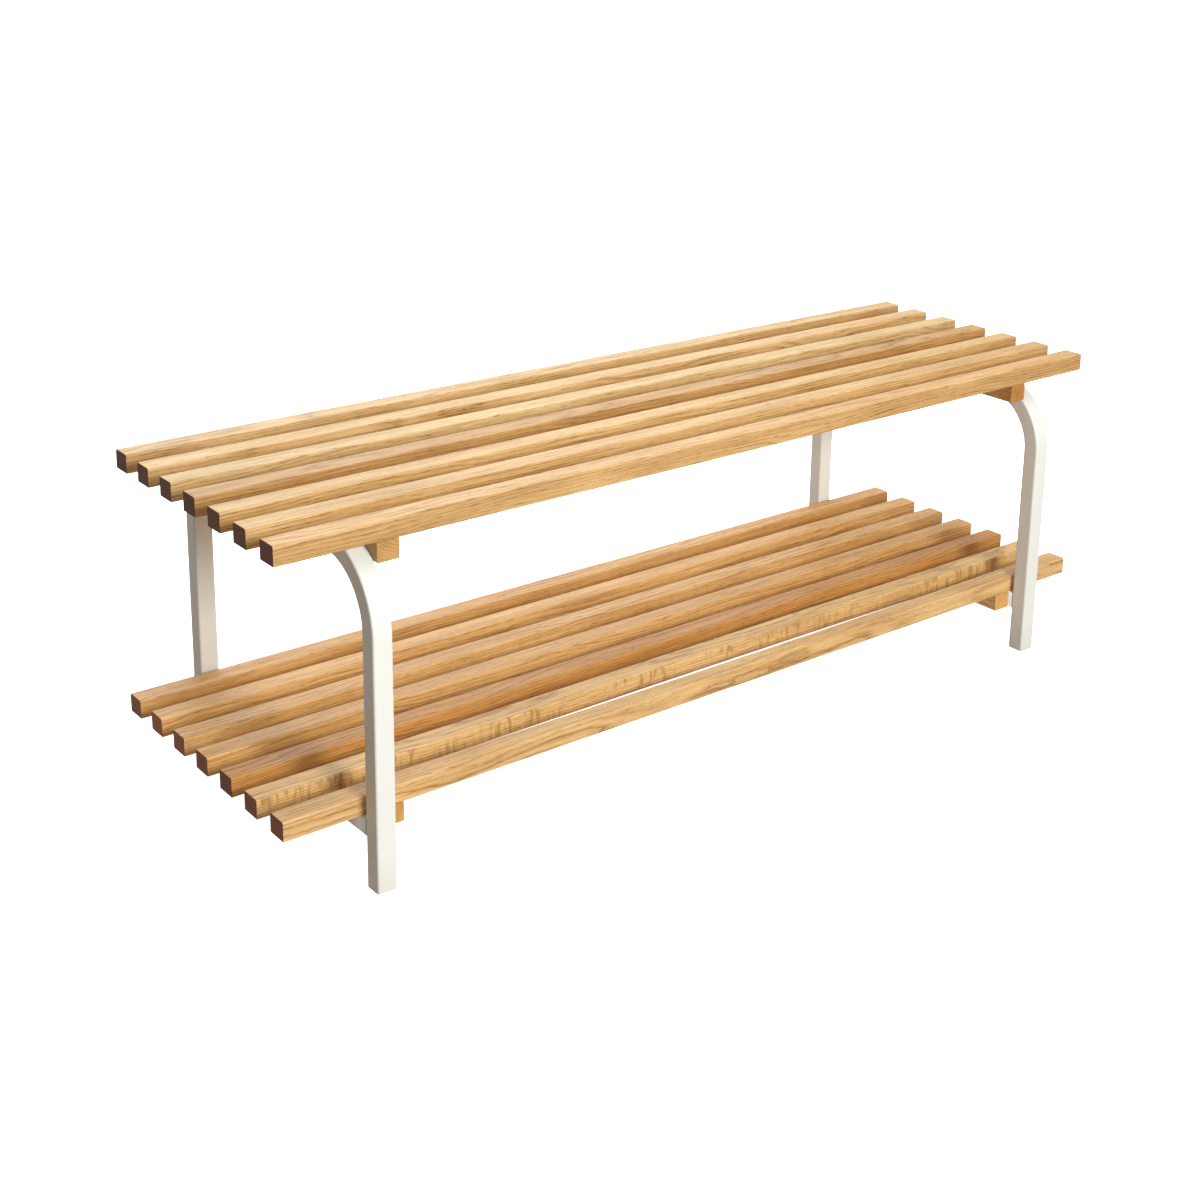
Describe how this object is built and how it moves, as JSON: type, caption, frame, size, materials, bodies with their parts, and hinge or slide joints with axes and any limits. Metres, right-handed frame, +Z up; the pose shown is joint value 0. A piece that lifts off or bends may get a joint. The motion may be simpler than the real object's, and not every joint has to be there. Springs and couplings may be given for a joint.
{
  "type": "entryway bench",
  "caption": "Two-tier entryway bench: spaced oak slats for a seat and a shoe shelf, on two bent white steel tube end frames.",
  "frame": {"origin": "on the floor, under the middle of the bench", "axes": "+X along the slats, +Y from the front to the back, +Z up"},
  "size_m": [1.2, 0.416, 0.391],
  "materials": {
    "oiled_oak": "planed oak, thin clear oil",
    "white_powder_coat": "satin warm white powder coat",
    "white_plastic": "moulded, matte",
    "zinc_steel": "bright zinc plate"
  },
  "bodies": {
    "root": {"upper_slat_1": "oiled_oak", "upper_slat_2": "oiled_oak", "upper_slat_3": "oiled_oak", "upper_slat_4": "oiled_oak", "upper_slat_5": "oiled_oak", "upper_slat_6": "oiled_oak", "upper_slat_7": "oiled_oak", "lower_slat_1": "oiled_oak", "lower_slat_2": "oiled_oak", "lower_slat_3": "oiled_oak", "lower_slat_4": "oiled_oak", "lower_slat_5": "oiled_oak", "lower_slat_6": "oiled_oak", "lower_slat_7": "oiled_oak", "left_upper_batten": "oiled_oak", "left_upper_slat_screws": "zinc_steel", "left_upper_frame_bolts": "zinc_steel", "left_upper_washers": "zinc_steel", "left_upper_rivet_nuts": "zinc_steel", "left_lower_batten": "oiled_oak", "left_lower_slat_screws": "zinc_steel", "left_lower_frame_bolts": "zinc_steel", "left_lower_washers": "zinc_steel", "left_lower_rivet_nuts": "zinc_steel", "left_hoop_tube": "white_powder_coat", "left_lower_crossbar": "white_powder_coat", "left_crossbar_welds": "white_powder_coat", "left_front_foot_plug": "white_plastic", "left_back_foot_plug": "white_plastic", "right_upper_batten": "oiled_oak", "right_upper_slat_screws": "zinc_steel", "right_upper_frame_bolts": "zinc_steel", "right_upper_washers": "zinc_steel", "right_upper_rivet_nuts": "zinc_steel", "right_lower_batten": "oiled_oak", "right_lower_slat_screws": "zinc_steel", "right_lower_frame_bolts": "zinc_steel", "right_lower_washers": "zinc_steel", "right_lower_rivet_nuts": "zinc_steel", "right_hoop_tube": "white_powder_coat", "right_lower_crossbar": "white_powder_coat", "right_crossbar_welds": "white_powder_coat", "right_front_foot_plug": "white_plastic", "right_back_foot_plug": "white_plastic"}
  },
  "joints": []
}
